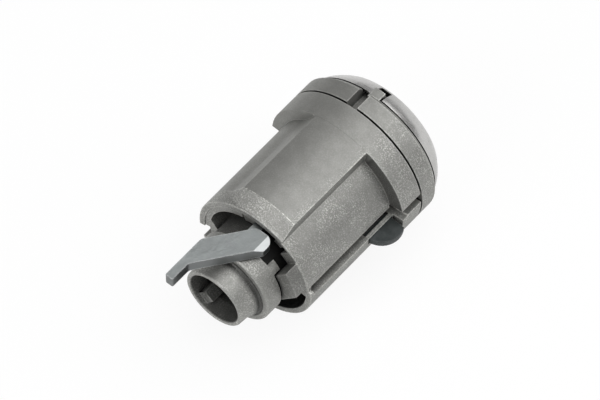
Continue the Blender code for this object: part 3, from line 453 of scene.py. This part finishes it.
def sleeve_painted_shade(g, xyz, angle):
    """Where painted shade darkens the drive sleeve: in the housing, in the spigot and in the collar's
    groove.
    """
    radius = g.from_axis(xyz)
    ahead = g.ramp(xyz[1], COLLAR_FRONT - COLLAR_FADE, COLLAR_FRONT + COLLAR_FADE)
    low, high = radians(TAB_ANGLES)
    on_tab = g.times(g.maths("GREATER_THAN", angle, low), g.maths("LESS_THAN", angle, high))
    on_tab = g.times(on_tab, g.maths("GREATER_THAN", radius, TAB_INNER_RADIUS))
    ahead = g.without(ahead, on_tab)
    ahead = g.without(ahead, g.times(g.ramp(angle, *radians(THIN_SHADE_ANGLES)), THIN_SHADE))

    rise = g.ramp(xyz[1], COLLAR_REAR - GROOVE_LENGTH, COLLAR_REAR - GROOVE_LENGTH / 3)
    low_down = g.ramp(radius, GROOVE_RADIUS + GROOVE_FADE, GROOVE_RADIUS)
    behind = g.maths("LESS_THAN", xyz[1], COLLAR_REAR + GROOVE_FADE)
    shade_so_far = g.maths("MAXIMUM", ahead, g.times(rise, low_down, behind, GROOVE_SHADE))
    inside = g.ramp(radius, BORE_RADIUS + BORE_FADE, BORE_RADIUS)
    return g.maths("MAXIMUM", shade_so_far, g.times(inside, BORE_SHADE))


def lever_plate():
    """Plated sheet steel: smooth and cool, with faint cloudy stains, worn edges, painted shade on faces that
    don't face up, a painted highlight on faces that turn up and towards +X, and painted shade in corners.
    """
    g = Graph("lever_plate")
    cloud = g.noise(LEVER_CLOUD)
    fine = g.noise(LEVER_FINE)
    slope = g.split(g.node("ShaderNodeTexCoord").outputs["Normal"])
    dark, light = (grey(*shade) for shade in LEVER_GREYS)
    base = g.blend(g.ramp(cloud, *SPREAD), dark, light)
    # Painted shade on the faces that don't face up
    base = g.blend(g.ramp(slope[2], *SIDE_SLOPE), base, grey(*LEVER_SIDE_SHADE))
    worn = g.times(g.edges(LEVER_WEAR_RADIUS, *LEVER_WEAR_BEND), g.ramp(fine, *LEVER_WEAR_BREAKS))
    # Painted highlight on faces that turn up and towards +X, mixed with the worn edges
    across, upwards = HIGHLIGHT_SLOPES
    painted_highlight = g.times(g.ramp(slope[0], *across), g.ramp(slope[2], *upwards), HIGHLIGHT_SHARE)
    colour = g.blend(g.maths("MAXIMUM", worn, painted_highlight), base, grey(*LEVER_WEAR_AND_HIGHLIGHT))
    # Painted shade in corners
    g.set("Base Color", g.crevice_shade(*LEVER_CREVICE_SHADE, colour, grey(CORNER_SHADE_LEVEL)))
    g.set("Metallic", LEVER_METALLIC)
    g.set("Roughness", g.ramp(cloud, *SPREAD, *LEVER_ROUGHNESS))
    g.set("Normal", g.bump(fine, LEVER_FINE_DEPTH, g.bump(cloud, LEVER_CLOUD_DEPTH)))
    return g.material


def cap_stainless():
    """Drawn stainless steel: bright, with fine rings from polishing and a soft waviness."""
    g = Graph("cap_stainless")
    xyz = g.split(g.place)
    rings = g.node("ShaderNodeCombineXYZ", None, {0: g.from_axis(xyz), 1: xyz[1]}).outputs[0]
    lines = g.noise(CAP_LINES, place=rings)
    cloud = g.noise(CAP_CLOUD)
    dark, light = (grey(*shade) for shade in CAP_GREYS)
    base = g.blend(g.ramp(cloud, *SPREAD), dark, light)
    # Painted shade in corners
    g.set("Base Color", g.crevice_shade(*CAP_CREVICE_SHADE, base, grey(CORNER_SHADE_LEVEL)))
    g.set("Metallic", 1.0)
    g.set("Roughness", g.ramp(lines, *SPREAD, *CAP_ROUGHNESS))
    g.set("Normal", g.bump(lines, CAP_LINE_DEPTH, g.bump(cloud, CAP_CLOUD_DEPTH)))
    return g.material


def dark_steel():
    """Dark passivated steel with a dull teal cast."""
    g = Graph("dark_steel")
    cloud = g.noise(CATCH_CLOUD)
    fine = g.noise(CATCH_FINE)
    dark, light = (grey(*shade) for shade in CATCH_GREYS)
    base = g.blend(g.ramp(cloud, *SPREAD), dark, light)
    worn = g.edges(CATCH_WEAR_RADIUS, *CATCH_WEAR_BEND)
    g.set("Base Color", g.blend(worn, base, grey(*CATCH_WORN)))
    g.set("Metallic", CATCH_METALLIC)
    g.set("Roughness", g.ramp(fine, *SPREAD, *CATCH_ROUGHNESS))
    g.set("Normal", g.bump(fine, CATCH_FINE_DEPTH))
    return g.material


def wafer_brass():
    """Stamped brass with a rolled grain."""
    g = Graph("wafer_brass")
    grain = g.noise(BRASS_GRAIN, place=g.stretched(BRASS_SCALES))
    g.set("Base Color", g.blend(g.ramp(grain, *SPREAD), BRASS_DARK, BRASS_LIGHT))
    g.set("Metallic", 1.0)
    g.set("Roughness", g.ramp(grain, *SPREAD, *BRASS_ROUGHNESS))
    g.set("Normal", g.bump(grain, BRASS_DEPTH))
    return g.material


def spring_steel():
    """Drawn wire and ground pins."""
    g = Graph("spring_steel")
    fine = g.noise(SPRING_FINE)
    dark, light = (grey(level) for level in SPRING_LEVELS)
    g.set("Base Color", g.blend(g.ramp(fine, *SPREAD), dark, light))
    g.set("Metallic", 1.0)
    g.set("Roughness", g.ramp(fine, *SPREAD, *SPRING_ROUGHNESS))
    g.set("Normal", g.bump(fine, SPRING_DEPTH))
    return g.material


def crown(work):
    """Swells the cap's cone between its skirt and its face, as a drawn cup is."""
    for i in range(1, CAP_CUTS + 1):
        y = CAP_REAR + (CAP_FRONT - CAP_REAR) * i / (CAP_CUTS + 1)
        geometry = work.verts[:] + work.edges[:] + work.faces[:]
        bmesh.ops.bisect_plane(
            work, geom=geometry, dist=CUT_TOLERANCE, plane_co=(0, y, 0), plane_no=(0, 1, 0)
        )
    for vert in work.verts:
        share = (vert.co.y - CAP_REAR) / (CAP_FRONT - CAP_REAR)
        radius = math.hypot(vert.co.x, vert.co.z)
        if radius > CAP_FACE_RADIUS and 0.0 < share < 1.0:
            grown = 1 + CAP_SWELL * 4 * share * (1 - share) / radius
            vert.co.x *= grown
            vert.co.z *= grown


def clearances(work, edges):
    """How far each edge lies from the nearest one of the others that doesn't touch it."""
    work.verts.index_update()
    ends = numpy.array([[vert.index for vert in edge.verts] for edge in edges])
    starts = numpy.array([edge.verts[0].co for edge in edges])
    spans = numpy.array([edge.verts[1].co for edge in edges]) - starts
    squares = (spans * spans).sum(axis=1)
    found = []
    for i in range(len(edges)):
        apart = ~numpy.isin(ends, ends[i]).any(axis=1)
        nearest = math.inf
        for along in EDGE_SAMPLES:
            point = starts[i] + spans[i] * along
            share = numpy.clip(((point - starts) * spans).sum(axis=1) / squares, 0.0, 1.0)
            away = numpy.linalg.norm(starts + spans * share[:, None] - point, axis=1)
            nearest = min(nearest, away[apart].min(initial=math.inf))
        found.append(nearest)
    return found


def weigh_edges(work, width):
    """Gives each sharp edge the share of the width that its corners and its neighbours leave room for."""
    weights = work.edges.layers.float.new("bevel_weight_edge")
    sharp = [e for e in work.edges if len(e.link_faces) == 2 and e.calc_face_angle() > SHARP_ANGLE]
    room = {edge: min(width, EDGE_SHARE * gap) for edge, gap in zip(sharp, clearances(work, sharp))}
    for face in work.faces:
        for loop in face.loops:
            before, after = loop.link_loop_prev.edge, loop.edge
            angle = loop.calc_angle()
            if before in room and after in room:
                reach = min(before.calc_length(), after.calc_length()) * math.tan(angle / 2)
                room[before] = min(room[before], EDGE_SHARE * reach)
                room[after] = min(room[after], EDGE_SHARE * reach)
            elif before in room:
                room[before] = min(room[before], EDGE_SHARE * after.calc_length() * math.sin(angle))
            elif after in room:
                room[after] = min(room[after], EDGE_SHARE * before.calc_length() * math.sin(angle))
    for edge, size in room.items():
        if size >= LEAST_WEIGHT * width:
            edge[weights] = size / width
        else:
            edge.smooth = False


def soften(node, width):
    """Copies a CAD node's mesh into a new piece, joins its flat triangles and rounds its edges."""
    piece = bpy.data.objects.new(f"{node.name}_dressed", node.data.copy())
    bpy.context.scene.collection.objects.link(piece)
    piece.data.shade_smooth()
    work = bmesh.new()
    work.from_mesh(piece.data)
    bmesh.ops.remove_doubles(work, verts=work.verts, dist=WELD_DISTANCE)
    if node.name == "face_cap":
        crown(work)
    bmesh.ops.dissolve_limit(work, angle_limit=FLAT_ANGLE, verts=work.verts, edges=work.edges)
    weigh_edges(work, width)
    if node.name in SPLIT_NODES:
        bmesh.ops.connect_verts_concave(work, faces=work.faces)
    work.to_mesh(piece.data)
    work.free()
    bevel = piece.modifiers.new("round", "BEVEL")
    bevel.width = width
    bevel.segments = ROUND_SEGMENTS
    bevel.limit_method = "WEIGHT"
    bevel.use_clamp_overlap = node.name not in SPLIT_NODES
    even = piece.modifiers.new("even", "WEIGHTED_NORMAL")
    even.keep_sharp = True
    return piece


def dress(frame):
    """Gives every CAD node its finish. The ones that show get a copy with rounded edges in their place."""
    finishes = {
        "cast_zinc": cast_zinc("cast_zinc", HOUSING_GREYS, shade_pattern=housing_painted_shade),
        "sleeve_zinc": cast_zinc("sleeve_zinc", SLEEVE_GREYS, SLEEVE_ROUGH, sleeve_painted_shade),
        "lever_plate": lever_plate(),
        "cap_stainless": cap_stainless(),
        "dark_steel": dark_steel(),
        "wafer_brass": wafer_brass(),
        "spring_steel": spring_steel(),
    }
    record = frame["record"]
    slots = {s["node"]: s["material_slot"] for s in record["subparts"]}
    bodies = {node: body for body, nodes in record["behaviour"]["bodies"].items() for node in nodes}
    for name, node in frame["nodes"].items():
        node.data.materials.clear()
        node.data.materials.append(finishes[slots[name]])
        piece = node
        if name in EDGE_ROUNDS:
            piece = soften(node, EDGE_ROUNDS[name])
            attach(piece, bodies[name])
            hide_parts(name)


def view_axes():
    """The camera's right, up and back directions for the photograph's view."""
    azimuth = math.radians(VIEW_AZIMUTH)
    elevation = math.radians(VIEW_ELEVATION)
    back = Vector(
        (
            math.sin(azimuth) * math.cos(elevation),
            -math.cos(azimuth) * math.cos(elevation),
            math.sin(elevation),
        )
    )
    right = Vector((math.cos(azimuth), math.sin(azimuth), 0.0))
    return right, back.cross(right), back


def make_camera():
    """A long lens at the photograph's angle, aimed so that the origin falls where the photo has it."""
    right, up, back = view_axes()
    aside = (PHOTO_WIDTH_PX / 2 - ORIGIN_PX[0]) / PX_PER_METRE
    above = (ORIGIN_PX[1] - PHOTO_HEIGHT_PX / 2) / PX_PER_METRE
    target = right * aside + up * above
    data = bpy.data.cameras.new("camera")
    data.sensor_width = SENSOR_WIDTH
    data.lens = SENSOR_WIDTH * CAMERA_DISTANCE * PX_PER_METRE / PHOTO_WIDTH_PX
    data.clip_start, data.clip_end = CAMERA_CLIP
    camera = bpy.data.objects.new("camera", data)
    camera.location = target + back * CAMERA_DISTANCE
    camera.rotation_euler = back.to_track_quat("Z", "Y").to_euler()
    bpy.context.scene.collection.objects.link(camera)
    bpy.context.scene.camera = camera


def area_light(name, direction, distance, size, power):
    """A square soft box that shines on the barrel from a direction."""
    data = bpy.data.lights.new(name, "AREA")
    data.shape = "SQUARE"
    data.size = size
    data.energy = power
    light = bpy.data.objects.new(name, data)
    towards = Vector(direction).normalized()
    light.location = towards * distance
    light.rotation_euler = towards.to_track_quat("Z", "Y").to_euler()
    bpy.context.scene.collection.objects.link(light)


def make_lights():
    """A wide soft box above, two small ones that glint in the metal, and a fill at the sleeve's end."""
    for name, settings in LAMPS.items():
        area_light(name, *settings)


def show_white(tree, share, plain, white, output):
    """Gives the camera white in place of a share of a plain shader, which lights the barrel as before."""
    path = tree.nodes.new("ShaderNodeLightPath")
    part = tree.nodes.new("ShaderNodeMath")
    part.operation = "MULTIPLY"
    part.inputs[1].default_value = share
    mixer = tree.nodes.new("ShaderNodeMixShader")
    tree.links.new(path.outputs["Is Camera Ray"], part.inputs[0])
    tree.links.new(part.outputs[0], mixer.inputs[0])
    tree.links.new(plain.outputs[0], mixer.inputs[1])
    tree.links.new(white.outputs[0], mixer.inputs[2])
    tree.links.new(mixer.outputs[0], output.inputs["Surface"])


def make_floor():
    """A pale floor under the flange, which the camera sees as nearly white."""
    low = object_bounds()[0].z
    bpy.ops.mesh.primitive_plane_add(size=FLOOR_SIZE, location=(0.0, 0.0, low))
    floor = bpy.context.object
    floor.name = "floor"
    material = bpy.data.materials.new("floor_white")
    material.use_nodes = True
    tree = material.node_tree
    plain = tree.nodes["Principled BSDF"]
    plain.inputs["Base Color"].default_value = grey(FLOOR_LEVEL)
    plain.inputs["Roughness"].default_value = FLOOR_ROUGHNESS
    white = tree.nodes.new("ShaderNodeEmission")
    white.inputs["Color"].default_value = grey(1.0)
    show_white(tree, FLOOR_WHITE_SHARE, plain, white, tree.nodes["Material Output"])
    floor.data.materials.append(material)


def make_world():
    """A soft grey world that the camera sees as white."""
    world = bpy.data.worlds.new("studio")
    bpy.context.scene.world = world
    world.use_nodes = True
    tree = world.node_tree
    tree.nodes.clear()
    plain = tree.nodes.new("ShaderNodeBackground")
    plain.inputs["Color"].default_value = grey(WORLD_LEVEL)
    plain.inputs["Strength"].default_value = WORLD_STRENGTH
    white = tree.nodes.new("ShaderNodeBackground")
    white.inputs["Color"].default_value = grey(1.0)
    show_white(tree, 1.0, plain, white, tree.nodes.new("ShaderNodeOutputWorld"))


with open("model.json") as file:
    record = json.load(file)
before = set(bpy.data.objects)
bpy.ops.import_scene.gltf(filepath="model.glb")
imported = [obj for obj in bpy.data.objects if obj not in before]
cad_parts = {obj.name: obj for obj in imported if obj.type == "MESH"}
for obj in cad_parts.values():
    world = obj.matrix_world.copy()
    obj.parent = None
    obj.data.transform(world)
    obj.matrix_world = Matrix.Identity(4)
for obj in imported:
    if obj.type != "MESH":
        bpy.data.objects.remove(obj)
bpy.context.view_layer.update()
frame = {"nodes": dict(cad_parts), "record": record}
make_camera()
dress(frame)
make_lights()
make_floor()
make_world()
bpy.context.scene.view_settings.view_transform = "Standard"
